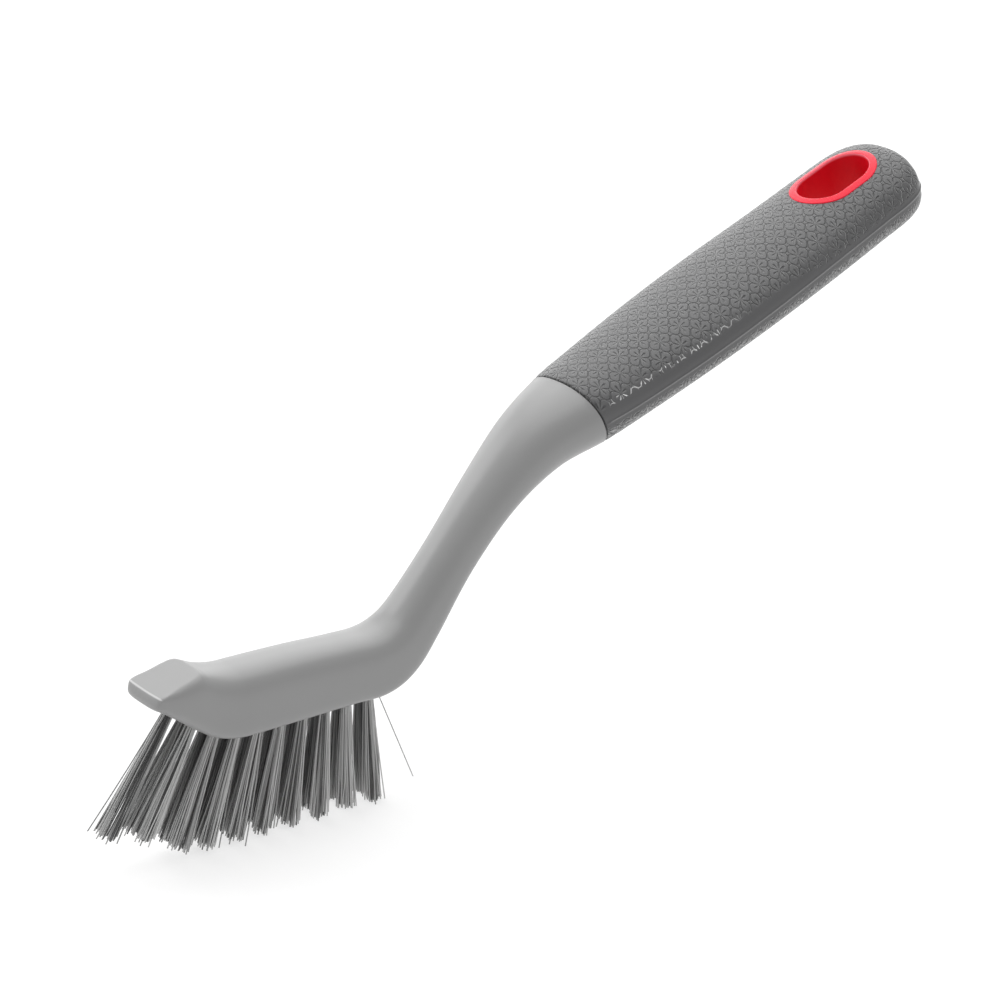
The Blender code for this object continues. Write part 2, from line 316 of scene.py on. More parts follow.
class Field:
    """A number that varies over a surface, as an output socket of a finish."""

    def __init__(self, finish, socket):
        self.finish = finish
        self.socket = socket

    def __add__(self, other):
        return self.finish.number("ADD", self, other)

    def __radd__(self, other):
        return self.finish.number("ADD", other, self)

    def __sub__(self, other):
        return self.finish.number("SUBTRACT", self, other)

    def __rsub__(self, other):
        return self.finish.number("SUBTRACT", other, self)

    def __mul__(self, other):
        return self.finish.number("MULTIPLY", self, other)

    def __truediv__(self, other):
        return self.finish.number("DIVIDE", self, other)

    def __gt__(self, other):
        return self.finish.number("GREATER_THAN", self, other)

    def __abs__(self):
        return self.finish.number("ABSOLUTE", self)


class Finish:
    """A material being built, with its Principled shader."""

    def __init__(self, name, **plain):
        self.material = bpy.data.materials.new(name)
        self.material.use_nodes = True
        self.tree = self.material.node_tree
        self.shader = self.tree.nodes["Principled BSDF"]
        self.connect(self.shader, {key.replace("_", " "): value for key, value in plain.items()})

    def connect(self, node, values):
        """Sets or links the inputs of a node, by name or by number."""
        for key, value in values.items():
            if isinstance(value, Field):
                self.tree.links.new(value.socket, node.inputs[key])
            else:
                node.inputs[key].default_value = value

    def node(self, kind, values=None, settings=None, out=0):
        """One output of a new node of a type, with its settings and its inputs."""
        made = self.tree.nodes.new("ShaderNode" + kind)
        for key, value in (settings or {}).items():
            setattr(made, key, value)
        self.connect(made, values or {})
        return Field(self, made.outputs[out])

    def number(self, operation, *values):
        """The result of a Math node."""
        return self.node("Math", dict(enumerate(values)), {"operation": operation})

    def part(self, vector, axis):
        """One number of a vector: 0, 1 or 2 for its x, y or z."""
        return self.node("SeparateXYZ", {0: vector}, out=axis)

    def smooth_step(self, value, low, high):
        """0 below low and 1 above high, with a soft step between."""
        settings = {"interpolation_type": "SMOOTHSTEP", "clamp": True}
        return self.node("MapRange", {0: value, 1: low, 2: high}, settings)

    def noise(self, place, scale, detail=2.0):
        """Soft random values from 0 to 1, in patches about 1 / scale across."""
        return self.node("TexNoise", {"Vector": place, "Scale": scale, "Detail": detail})

    def blend(self, amount, first, second):
        """A colour between two colours."""
        pair = {6: first, 7: second}
        colours = {
            key: value if isinstance(value, Field) else (*value, 1) for key, value in pair.items()
        }
        return self.node("Mix", {0: amount, **colours}, {"data_type": "RGBA"}, out=2)

    def bump(self, height, distance, strength):
        """A normal tilted by a height, which counts in units of distance."""
        values = {"Height": height, "Distance": distance, "Strength": strength}
        return self.node("Bump", values)

    def complete(self, **fields):
        """Links what varies into the shader and gives the material."""
        self.connect(self.shader, {key.replace("_", " "): value for key, value in fields.items()})
        return self.material


print("finish tools ready")

# %% [markdown]
# ## The light grey plastic
# The body is moulded in a light grey plastic with a satin sheen. Real moulded plastic is never quite
# even: its gloss drifts a little where the tool was polished, and a very faint waviness bends its
# reflections. A picture could hold this, but noise on the piece's own coordinates needs no seams. A
# pale painted highlight runs along the front edge of the nose, on a line that curves back a little at
# its ends.

# %% Body plastic
BODY_TONES = [(0.292, 0.292, 0.292), (0.320, 0.320, 0.320)]
EDGE_HIGHLIGHT_TONE = (0.62, 0.62, 0.62)
EDGE_X = (3.95 - MIDDLE_X) * MM
EDGE_Z = (15.55 + HEAD_BASE) * MM
EDGE_CURVE = 4.0
EDGE_HIGHLIGHT_CORE = 0.05 * MM
EDGE_FADED = 0.34 * MM


def body_plastic():
    finish = Finish("body_plastic", IOR=1.48)
    place = finish.node("TexCoord", out=3)
    drift = finish.noise(place, 45.0)
    grain = finish.noise(place, 2600.0, 1.0)
    wave = finish.noise(place, 140.0)
    x, y, z = [finish.part(place, axis) for axis in range(3)]
    # Painted highlight: a pale line along the front edge of the nose.
    from_edge = abs(x - EDGE_X - y * y * EDGE_CURVE)
    edge = (1 - finish.smooth_step(from_edge, EDGE_HIGHLIGHT_CORE, EDGE_FADED)) * (z > EDGE_Z)
    tone = finish.blend(drift, *BODY_TONES)
    tone = finish.blend(edge * 0.75, tone, EDGE_HIGHLIGHT_TONE)
    normal = finish.bump(grain * 0.25 + wave, 0.06 * MM, 0.35)
    return finish.complete(Base_Color=tone, Roughness=0.32 + drift * 0.07, Normal=normal)


BODY_PLASTIC = body_plastic()
print("made", BODY_PLASTIC.name)

# %% [markdown]
# ## The moulded body
# Head, neck and tang are one moulding. Its nose is blunt in front and carries a flat facet on top,
# which meets the sides in a rounded edge. The facet could be cut and bevelled, but a soft minimum of
# the rounded head and the plane of the facet gives both at once: where the plane is well below the
# surface the point drops onto it, and near the edge the two blend over a short width.

# %% The facet on the nose
FACET_X = 4.5
FACET_Z = 15.95
FACET_RISE = math.tan(math.radians(14.7))
FACET_ENDS = 27.0
FACET_REACH = 3.0
FACET_SOFTNESS = 0.22
FRONT_SOFTNESS = 0.6
SOFTNESS_FALL = 0.3


def soft_least(first, second, width):
    """The smaller value, with a rounded change from one to the other."""
    near = max(width - abs(first - second), 0) / width
    return min(first, second) - near * near * width / 4


def lay_facet(vertex):
    """Lowers a vertex of the nose onto the plane of the facet."""
    x = vertex.co.x / MM + MIDDLE_X
    z = vertex.co.z / MM - HEAD_BASE
    if x > FACET_ENDS or z < FACET_Z - FACET_REACH:
        return
    plane = FACET_Z + (x - FACET_X) * FACET_RISE
    softness = max(FACET_SOFTNESS, FRONT_SOFTNESS - max(x - FACET_X, 0) * SOFTNESS_FALL)
    vertex.co.z = (soft_least(z, plane, softness) + HEAD_BASE) * MM


print("where the facet meets the head the surface drops by", -soft_least(0, 0, FACET_SOFTNESS), "mm")

# %% The body's surface
HEAD_POINTS = 144
NOSE_SPACING = 0.15
NECK_SPACING = 0.9
GROOVE = [(-0.45, 0.0), (-0.33, -0.08), (-0.25, -0.3), (-0.22, -1.0), (3.0, -1.2), (3.2, -3.0)]

body_sections = smoothed(BAR, 0, NOSE_END, NOSE_SPACING)[:-1]
body_sections += smoothed(BAR, NOSE_END, NECK_END, NECK_SPACING)[:-1]
for distance, growth in GROOVE:
    start = grown(GRIP[0], growth)
    body_sections.append(on_grip(distance, start.half_width, start.half_height))
body_shape = wrapped(body_sections, turn(HEAD_POINTS))
for vertex in body_shape.verts:
    lay_facet(vertex)
close_round(body_shape)
body = show("handle_and_head", body_shape, BODY_PLASTIC, "body_plastic", "handle_body")

# %% [markdown]
# ## Where the tufts stand
# Nineteen tufts come out of blind holes in the underside: one at the nose and two rows behind it. A
# place has a matrix whose Z axis runs out of the hole along the tuft, so the holes and the filaments
# can both be made standing at the origin and then moved by it.

# %% Tuft places
FRONT_TUFT_X = 9.75
FRONT_LEAN = 34.3
FRONT_TRIM = 32.0
FIRST_PAIR_X = 14.7
FIRST_SHADING = 0.35
TUFT_PITCH = 6.21
ROW_OFFSET = 1.95
OUTWARD_LEAN = 2.0
TRIM_LENGTH = 28.8
FORWARD_LEANS = [31, 24.5, 21, 17.5, 14.5, 11, 7, 2.5, -0.5]


def underside(x):
    """Height of the underside of the head over its base."""
    sections = smoothed(BAR, 0, NOSE_END, 1.0)
    for first, second in zip(sections, sections[1:]):
        if first.x <= x <= second.x:
            share = (x - first.x) / (second.x - first.x)
            low = first.z - first.half_height
            return low + share * (second.z - second.half_height - low)
    return 0.0


TuftPlace = namedtuple("TuftPlace", "matrix trim shading")


def tuft_place(x, side, forward_lean, trim, shading):
    """A place under the head, on a side or in the middle, leaning forwards and outwards."""
    mouth = Matrix.Translation(world(x, side * ROW_OFFSET, underside(x)))
    outward = Matrix.Rotation(math.radians(OUTWARD_LEAN) * side, 4, "X")
    lean = Matrix.Rotation(math.radians(forward_lean), 4, "Y")
    over = Matrix.Rotation(math.pi, 4, "X")
    return TuftPlace(mouth @ outward @ lean @ over, trim, shading)


places = {"front": tuft_place(FRONT_TUFT_X, 0, FRONT_LEAN, FRONT_TRIM, 0.0)}
for row, side in (("left", -1), ("right", 1)):
    for index, lean in enumerate(FORWARD_LEANS):
        x = FIRST_PAIR_X + TUFT_PITCH * index
        shading = 1.0 if index else FIRST_SHADING
        places[f"{row}_{index + 1}"] = tuft_place(x, side, lean, TRIM_LENGTH, shading)
print("tufts:", len(places))

# %% The holes in the head
HOLE_RADIUS = 1.65
HOLE_DEPTH = 5.0
HOLE_SIDES = 20
CUTTER_REACH = 4.0


def tuft_holes():
    """A cylinder for each blind hole, as one cutter."""
    shape = bmesh.new()
    middle = Matrix.Translation((0, 0, (CUTTER_REACH - HOLE_DEPTH) / 2 * MM))
    for place in places.values():
        bmesh.ops.create_cone(
            shape,
            cap_ends=True,
            segments=HOLE_SIDES,
            radius1=HOLE_RADIUS * MM,
            radius2=HOLE_RADIUS * MM,
            depth=(HOLE_DEPTH + CUTTER_REACH) * MM,
            matrix=place.matrix @ middle,
        )
    return shape


cut(body, tuft_holes())

# %% [markdown]
# ## The relief on the grip
# The soft grip carries a panel of small flowers. A flower has four round petals, each with a slit down
# its middle, so eight short strokes run out from the heart of the flower. The flowers tile like a net
# of diamonds. Any point is folded to the nearest flower, so one flower's drawing repeats over the whole
# grip. The swell of the petals is raised in the mesh; the lines, finer than a face, go into the bump.

# %% Folding a point onto its nearest flower
FLOWER_PITCH = 6.77
ROW_PITCH = 4.5
FLOWER_SHIFT = 5.1
ROW_SHIFT = -1.35
SLANT = 0.1
SQUASH = FLOWER_PITCH / 2 / ROW_PITCH
REACH = FLOWER_PITCH / 2


def nearest_flower(along, across):
    """Where a point lies from its nearest flower, with the width squashed to make a square net."""
    offsets = []
    for half in (0, 0.5):
        dx = (along - FLOWER_SHIFT - (across - ROW_SHIFT) * SLANT) / FLOWER_PITCH - half
        dy = (across - ROW_SHIFT) / (2 * ROW_PITCH) - half
        x = (dx - round(dx)) * FLOWER_PITCH
        y = (dy - round(dy)) * 2 * ROW_PITCH * SQUASH
        offsets.append((x, y))
    return min(offsets, key=lambda offset: abs(offset[0]) + abs(offset[1]))


print("the heart of a flower lies from itself by", nearest_flower(FLOWER_SHIFT, ROW_SHIFT))

# %% The shape of a petal
PETAL_GAP = 0.05
PETAL_CENTRE = 1.68
PETAL_RADIUS = 1.27
CORNER = 0.3


def petal_depth(x, y):
    """How far a point lies inside its petal."""
    length, width = max(abs(x), abs(y)), min(abs(x), abs(y))
    inner = (length - width) / math.sqrt(2) - PETAL_GAP
    outer = (REACH - length - width) / math.sqrt(2) - PETAL_GAP
    round_end = PETAL_RADIUS - math.hypot(length - PETAL_CENTRE, width)
    return soft_least(soft_least(inner, outer, CORNER), round_end, CORNER)


print("the middle of a petal lies inside by", round(petal_depth(PETAL_CENTRE, 0), 2), "mm")

# %% The panel of flowers
PLAIN_BAND = 3.3
UNDER_BAND = 1.2
BAND_ENDS = 60.0
BAND_GONE = 76.0
PANEL_FADE = 0.5
PETAL_FOOT = -0.1
PETAL_TOP = 0.7


def step(value, low, high):
    """0 below low and 1 above high, with a soft step between."""
    share = min(max((value - low) / (high - low), 0), 1)
    return share * share * (3 - 2 * share)


def panel_edge(along, rise):
    """How far from the parting line the panel starts, over it and under it."""
    if rise < 0:
        return UNDER_BAND
    return PLAIN_BAND - (PLAIN_BAND - UNDER_BAND) * step(along, BAND_ENDS, BAND_GONE)


def petal_raise(along, across, rise):
    """How far a point of the grip is raised, from 0 to 1."""
    edge = panel_edge(along, rise)
    if abs(rise) < edge:
        return 0
    x, y = nearest_flower(along, across)
    swell = step(petal_depth(x, y), PETAL_FOOT, PETAL_TOP)
    return swell * step(abs(rise), edge, edge + PANEL_FADE)


print("the middle of a petal is raised by", petal_raise(FLOWER_SHIFT + REACH / 2, ROW_SHIFT, 20))

# %% The grip's sections, from its rolled front edge to its round butt
SLEEVE_SPACING = 0.36
FRONT_ROLL = [(2.3, -1.4), (0.2, -1.2), (0.14, -0.5), (0.2, -0.2), (0.32, -0.06), (0.5, 0.0)]
AFTER_ROLL = 0.2
BUTT_PLAN_SQUARENESS = 3.3
BUTT_SIDE_SQUARENESS = 4.6
BUTT_RINGS = 60
BUTT_LEAN = 5.0
LAST_TURN = math.radians(89.7)


def butt_sides(reach):
    """The half width and half height of the butt, at a share of its length."""
    width = (1 - reach**BUTT_PLAN_SQUARENESS) ** (1 / BUTT_PLAN_SQUARENESS)
    height = (1 - reach**BUTT_SIDE_SQUARENESS) ** (1 / BUTT_SIDE_SQUARENESS)
    return GRIP[-1].half_width * width, GRIP[-1].half_height * height


def grip_sections():
    """The sections of the sleeve from inside its front edge, along the grip and round the butt."""
    sections = []
    for distance, growth in FRONT_ROLL:
        start = grown(GRIP[0], growth)
        sections.append(on_grip(distance, start.half_width, start.half_height))
    straight = smoothed(BAR, NECK_END, len(BAR) - 1, SLEEVE_SPACING)
    sections += [section for section in straight if section.x > sections[-1].x + AFTER_ROLL]
    for ring in range(1, BUTT_RINGS + 1):
        reach = math.sin(LAST_TURN * ring / BUTT_RINGS)
        distance = BUTT_START + (GRIP_LENGTH - BUTT_START) * reach
        section = on_grip(distance, *butt_sides(reach), BUTT_TOP, BUTT_BOTTOM)
        sections.append(section._replace(tilt=section.tilt - BUTT_LEAN * reach * reach))
    return sections


sleeve_sections = grip_sections()
print("rings in the sleeve:", len(sleeve_sections))

# %% Angles round the grip, closer together at the parting lines
SIDE_POINTS = 66
RIDGE_STEPS = [0.3, 0.62, 0.95, 1.4]
RIDGE_CLEARANCE = 1.3


def grip_angles():
    """Angles from the keel up the near side, over the crown and down the far side."""
    ridge = [math.radians(angle) for angle in RIDGE_STEPS]
    even = [math.pi / 2 * index / SIDE_POINTS for index in range(SIDE_POINTS)]
    quarter = [angle for angle in even if angle == 0 or angle > ridge[-1] * RIDGE_CLEARANCE]
    quarter = sorted(quarter + ridge)
    half = [-angle for angle in reversed(quarter[1:])] + quarter
    near = [-math.pi / 2] + half
    far = [math.pi - angle for angle in reversed(half)] + [math.pi * 1.5]
    return near + [math.pi / 2] + far


sleeve_angles = grip_angles()
print("points round the sleeve:", len(sleeve_angles))

# %% Measures over the grip's surface
GripMeasure = namedtuple("GripMeasure", "along across rise")


def measured(sections, angles):
    """For every ring of the sleeve: its distance along, and how far round each point lies."""
    crown = min(range(len(angles)), key=lambda index: abs(angles[index] - math.pi / 2))
    near = angles.index(0)
    far = min(range(len(angles)), key=lambda index: abs(angles[index] - math.pi))
    result = GripMeasure([], [], [])
    for section in sections:
        ring = [on_section(section, angle) / MM for angle in angles]
        travel = [0.0]
        for first, second in zip(ring, ring[1:]):
            travel.append(travel[-1] + (second - first).length)
        before = travel[:near]
        over = [gone - travel[crown] for gone in travel[near : far + 1]]
        after = [gone - travel[-1] for gone in travel[far + 1 :]]
        result.along.append((section.x - GRIP_X) / math.cos(GRIP_SLOPE))
        result.across.append(before + over + after)
        result.rise.append([min(gone - travel[near], travel[far] - gone) for gone in travel])
    return result


measure = measured(sleeve_sections, sleeve_angles)
middle_ring = len(measure.rise) // 2
print("from parting line to crown:", round(max(measure.rise[middle_ring]), 1), "mm")

# %% [markdown]
# ## The soft rubber of the grip
# The grip is a dark grey soft plastic, matt but with a broad sheen where the light grazes it. Its
# colour drifts slightly, and painted shade darkens the grooves. The lines of the petals could be a
# picture, but they repeat by a rule, so the fold used in the mesh is made again with shader nodes and
# stays sharp however close the view. Painted highlights lie between the strokes, on the parting line,
# in short glints on the lowest row of petals over it, and in specks on the strip under it. The glints
# and specks are masks on the distance from the parting line, broken up with noise.

# %% The fold and the petals, as nodes


def petal_place(finish, along, across):
    """How far a point lies out along its nearest petal, and how far from the petal's middle."""
    sideways = across - ROW_SHIFT
    lengthways = along - FLOWER_SHIFT - sideways * SLANT
    offsets = []
    for half in (0, 0.5):
        x = finish.number("WRAP", lengthways - FLOWER_PITCH * half, REACH, -REACH)
        y = finish.number("WRAP", sideways - 2 * ROW_PITCH * half, ROW_PITCH, -ROW_PITCH) * SQUASH
        offsets.append((x, y))
    far_one, far_two = [abs(x) + abs(y) for x, y in offsets]
    second = far_one > far_two
    x, y = [one + (two - one) * second for one, two in zip(*offsets)]
    return finish.number("MAXIMUM", abs(x), abs(y)), finish.number("MINIMUM", abs(x), abs(y))


def petal_depth_field(finish, length, width):
    """How far a point lies inside its petal."""
    inner = (length - width) / math.sqrt(2) - PETAL_GAP
    outer = (REACH - length - width) / math.sqrt(2) - PETAL_GAP
    from_middle = length - PETAL_CENTRE
    round_end = PETAL_RADIUS - finish.number("SQRT", from_middle * from_middle + width * width)
    pointed = finish.number("SMOOTH_MIN", inner, outer, CORNER)
    return finish.number("SMOOTH_MIN", pointed, round_end, CORNER)


def panel_field(finish, along, rise):
    """1 on the panel of flowers, and 0 on the plain bands beside the parting line."""
    fade = finish.smooth_step(along, BAND_ENDS, BAND_GONE)
    top_edge = PLAIN_BAND - fade * (PLAIN_BAND - UNDER_BAND)
    edge = UNDER_BAND + (top_edge - UNDER_BAND) * (rise > 0)
    return finish.smooth_step(abs(rise) - edge, 0.0, PANEL_FADE)


print("the fold has a period of", FLOWER_PITCH, "by", 2 * ROW_PITCH, "mm")

# %% The lines of the flowers, as nodes
STROKES = 8.0
HEART = (0.2, 0.5)
STROKES_END = (1.2, 2.0)
OUTLINE_STARTS = (0.9, 1.5)
STROKE_HIGHLIGHT_ENDS = (0.9, 1.7)


def flower_lines(finish, along, across, in_panel):
    """The broad lines, the fine lines within them, and the painted highlight on the ground between the
    strokes.
    """
    ramp = finish.smooth_step
    length, width = petal_place(finish, along, across)
    depth = abs(petal_depth_field(finish, length, width))
    radius = finish.number("SQRT", length * length + width * width)
    waves = finish.number("COSINE", finish.number("ARCTAN2", width, length) * STROKES)
    shown = ramp(radius, *HEART) * in_panel

    def lines(outline_width, outline_strength, stroke_start):
        outline = (1 - ramp(depth, 0.0, outline_width)) * ramp(radius, *OUTLINE_STARTS)
        stroke = ramp(waves, stroke_start, 1.0) * (1 - ramp(radius, *STROKES_END))
        return finish.number("MAXIMUM", outline * outline_strength, stroke) * shown

    # Mask of the painted highlight between the strokes, near the heart of a flower.
    stroke_highlight = ramp(0 - waves, 0.2, 0.9) * (1 - ramp(radius, *STROKE_HIGHLIGHT_ENDS)) * shown
    return lines(0.19, 0.8, 0.15), lines(0.13, 0.6, 0.4), stroke_highlight


print("strokes from the heart of a flower:", STROKES)

# %% Painted highlights beside the parting line, as nodes
GLINT_RISE = 4.05
GLINTS_START = (2.0, 5.0)
GLINTS_END = (30.0, 52.0)
UNDER_GLINTS_START = (1.6, 2.6)
UNDER_GLINTS_END = (4.5, 6.5)


def painted_highlights(finish, place, along, rise):
    """Where painted glints lie on the petals over the line, and painted highlight specks on the strip
    under it.
    """
    ramp = finish.smooth_step
    patches = ramp(finish.noise(place, 420.0), 0.3, 0.42)
    stretch = ramp(along, *GLINTS_START) * (1 - ramp(along, *GLINTS_END))
    near_edge = 1 - ramp(abs(rise - GLINT_RISE), 0.5, 1.1)
    under = ramp(0 - rise, *UNDER_GLINTS_START) * (1 - ramp(0 - rise, *UNDER_GLINTS_END))
    specks = ramp(finish.noise(place, 1500.0, 1.0), 0.5, 0.62)
    return near_edge * patches * stretch, under * specks * (0.25 + patches * 0.75)


print("bright marks end", GLINTS_END[1], "mm along the grip")

# %% Grip rubber
UV_UNIT = 100.0
GRIP_TONES = [(0.105, 0.105, 0.107), (0.120, 0.120, 0.122)]
GROOVE_SHADE_TONE = (0.035, 0.035, 0.037)
STROKE_HIGHLIGHT_TONE = (0.26, 0.26, 0.26)
SEAM_HIGHLIGHT_TONE = (0.4, 0.4, 0.4)
UNDER_GLINT_TONE = (0.5, 0.5, 0.5)
GLINT_TONE = (0.92, 0.92, 0.92)


def grip_rubber():
    finish = Finish("grip_rubber", IOR=1.5, Sheen_Weight=0.7, Sheen_Roughness=0.32)
    ramp = finish.smooth_step
    place = finish.node("TexCoord", out=3)
    spot = finish.node("UVMap", settings={"uv_map": "grip_place"})
    along, across = [finish.part(spot, axis) * UV_UNIT for axis in range(2)]
    rise = finish.part(finish.node("UVMap", settings={"uv_map": "grip_rise"}), 0) * UV_UNIT

    in_panel = panel_field(finish, along, rise)
    line, fine, stroke_highlight = flower_lines(finish, along, across, in_panel)
    marks, under_glints = painted_highlights(finish, place, along, rise)
    # Mask of the painted glints on the lines over the parting line.
    glint = marks * ramp(line, 0.3, 0.9)
    # Mask of the painted highlight along the parting line.
    seam_highlight = (1 - ramp(abs(rise), 0.05, 0.22)) * ramp(along, 1.0, 2.0)

    drift = finish.noise(place, 60.0)
    patchy = ramp(finish.noise(place, 150.0), 0.25, 0.6)
    grain = finish.noise(place, 1500.0, 3.0)
    tone = finish.blend(drift, *GRIP_TONES)
    # Painted shade darkens the grooves.
    tone = finish.blend(fine * (0.3 + patchy * 0.38), tone, GROOVE_SHADE_TONE)
    # Painted highlight on the ground between the strokes.
    tone = finish.blend(stroke_highlight * patchy * 0.28, tone, STROKE_HIGHLIGHT_TONE)
    # Painted highlight along the parting line.
    tone = finish.blend(seam_highlight * 0.35, tone, SEAM_HIGHLIGHT_TONE)
    # Painted highlight specks under the parting line, then painted glints over it.
    tone = finish.blend(under_glints * in_panel * 0.6, tone, UNDER_GLINT_TONE)
    tone = finish.blend(glint, tone, GLINT_TONE)
    height = 1 - line * (0.6 + patchy * 0.4) + glint + grain * 0.1
    normal = finish.bump(height, 0.34 * MM, 0.95)
    return finish.complete(Base_Color=tone, Roughness=0.42 + drift * 0.08, Normal=normal)


GRIP_RUBBER = grip_rubber()
print("made", GRIP_RUBBER.name)

# %% [markdown]
# ## The sleeve
# The sleeve is a rolled sheet, like the body. A displacement modifier could raise its petals from a
# picture, but their height comes from a formula, so every point is pushed out along its normal
# directly. The distances along and round the grip are kept in two texture layers, where the finish
# reads them, so that its lines fall on the petals of the mesh.

# %% The sleeve with its raised petals
PETAL_HEIGHT = 0.035
RIDGE_HEIGHT = 0.22
RIDGE_WIDTH = 0.25
RIDGE_STARTS = 0.4
RELIEF_STARTS = 1.0


def relief(along, across, rise):
    """How far the finished surface stands over the plain one, in millimetres."""
    ridge = RIDGE_HEIGHT * math.exp(-((rise / RIDGE_WIDTH) ** 2))
    if along < RELIEF_STARTS:
        return ridge * step(along, RIDGE_STARTS, RELIEF_STARTS)
    return ridge + PETAL_HEIGHT * petal_raise(along, across, rise)


def sleeve():
    """The rolled sheet with its relief and its texture layers."""
    shape = wrapped(sleeve_sections, sleeve_angles)
    rows = len(sleeve_sections) - 1
    columns = len(sleeve_angles) - 1
    shape.loops.layers.uv.new("grip_place")
    shape.loops.layers.uv.new("grip_rise")
    sheet = shape.loops.layers.uv["sheet"]
    surface = shape.loops.layers.uv["grip_place"]
    lift = shape.loops.layers.uv["grip_rise"]
    shape.normal_update()
    normals = {vertex: vertex.normal.copy() for vertex in shape.verts}
    raised = set()
    for face in shape.faces:
        for loop in face.loops:
            row = round(loop[sheet].uv.x * rows)
            column = round(loop[sheet].uv.y * columns)
            along = measure.along[row]
            across = measure.across[row][column]
            rise = measure.rise[row][column]
            loop[surface].uv = (along / UV_UNIT, across / UV_UNIT)
            loop[lift].uv = (rise / UV_UNIT, 0)
            if loop.vert not in raised:
                raised.add(loop.vert)
                loop.vert.co += normals[loop.vert] * relief(along, across, rise) * MM
    close_round(shape)
    return shape


grip = show("soft_grip", sleeve(), GRIP_RUBBER, "grip_rubber", "grip_sleeve")

# %% [markdown]
# ## The hanging slot
# The slot is a stadium: two half circles joined by straight sides. Its opening is cut through the
# sleeve first, and the red liner then fills the edge of the cut. The liner is a ring whose profile
# has a rounded lip at each face of the grip and a straight wall between, and the lips follow the
# crown of the grip.

# %% The stadium and the height of the grip under it
SLOT_CENTRE = 95.0
SLOT_LENGTH = 20.8
SLOT_WIDTH = 14.2
ARC_POINTS = 28
SIDE_STEPS = 8


def stadium(growth):
    """Points round the slot, grown outwards, as (along, across) from its centre."""
    radius = SLOT_WIDTH / 2 + growth
    straight = (SLOT_LENGTH - SLOT_WIDTH) / 2
    points = []
    for end in (1, -1):
        for index in range(ARC_POINTS + 1):
            angle = math.pi * (index / ARC_POINTS - 0.5)
            along = end * (straight + radius * math.cos(angle))
            points.append((along, end * radius * math.sin(angle)))
        for index in range(1, SIDE_STEPS):
            share = 1 - 2 * index / SIDE_STEPS
            points.append((end * straight * share, end * radius))
    return points


def slot_place(along, across, height):
    """A point of the slot as a point of the scene."""
    distance = SLOT_CENTRE + along
    x = GRIP_X + distance * math.cos(GRIP_SLOPE) - height * math.sin(GRIP_SLOPE)
    z = GRIP_Z + distance * math.sin(GRIP_SLOPE) + height * math.cos(GRIP_SLOPE)
    return world(x, across, z)


def grip_height(along, across):
    """How far the surface of the grip stands over its middle at a point near the slot."""
    distance = SLOT_CENTRE + along
    if distance <= BUTT_START:
        share = (distance - BEFORE_BUTT) / (BUTT_START - BEFORE_BUTT)
        first, last = GRIP[-2], GRIP[-1]
        width = first.half_width + share * (last.half_width - first.half_width)
        height = first.half_height + share * (last.half_height - first.half_height)
    else:
        width, height = butt_sides((distance - BUTT_START) / (GRIP_LENGTH - BUTT_START))
    across = min(abs(across) / width, 1)
    return height * (1 - across**BUTT_TOP) ** (1 / BUTT_TOP)


print("grip over the middle of the slot:", round(grip_height(0, 0), 2), "mm")

# %% Cutting the slot through the sleeve
CUT_GROWTH = 1.55
CUT_REACH = 20


def slot_cutter():
    """A stadium drawn out right through the grip, a little wider than the opening."""
    shape = bmesh.new()
    points = stadium(CUT_GROWTH)
    ring = bmesh.ops.create_circle(shape, cap_ends=True, segments=len(points), radius=MM)
    for vertex, (along, across) in zip(ring["verts"], points):
        vertex.co = slot_place(along, across, -CUT_REACH)
    drawn = bmesh.ops.extrude_face_region(shape, geom=list(shape.faces))["geom"]
    far_end = [item for item in drawn if isinstance(item, bmesh.types.BMVert)]
    through = slot_place(0, 0, CUT_REACH) - slot_place(0, 0, -CUT_REACH)
    bmesh.ops.translate(shape, verts=far_end, vec=through)
    bmesh.ops.recalc_face_normals(shape, faces=shape.faces)
    return shape


cut(grip, slot_cutter())

# %% [markdown]
# ## The red liner
# The liner is a soft red plastic with a satin shine. Its lips are bright, a painted highlight makes a
# pale line on the rim where a lip turns into the slot, and painted shade makes the wall inside a deeper
# red. The sheet that the liner is rolled from runs across the lip and down the wall, so its own
# coordinate tells the finish which part it is on, and one material does for all three.

# %% The liner's profile, as offsets from the opening and heights over the grip
LINER_PROFILE = [
    (2.05, -0.5),
    (2.05, 0.1),
    (1.98, 0.17),
    (1.8, 0.21),
    (1.4, 0.26),
    (0.95, 0.31),
    (0.55, 0.35),
    (0.28, 0.33),
    (0.1, 0.2),
    (0.02, -0.02),
    (-0.02, -0.6),
    (-0.08, -2.0),
    (-0.1, -4.5),
]
STATIONS = 2 * len(LINER_PROFILE)
RIM_STATION = 8.4
WALL_STATION = (STATIONS - 1) / 2
print("stations round the liner's profile:", STATIONS)

# %% Liner red
LIP_TONES = [(0.84, 0.002, 0.028), (0.9, 0.003, 0.034)]
WALL_SHADE_TONE = (0.66, 0.0005, 0.01)
RIM_HIGHLIGHT_TONE = (0.95, 0.22, 0.28)


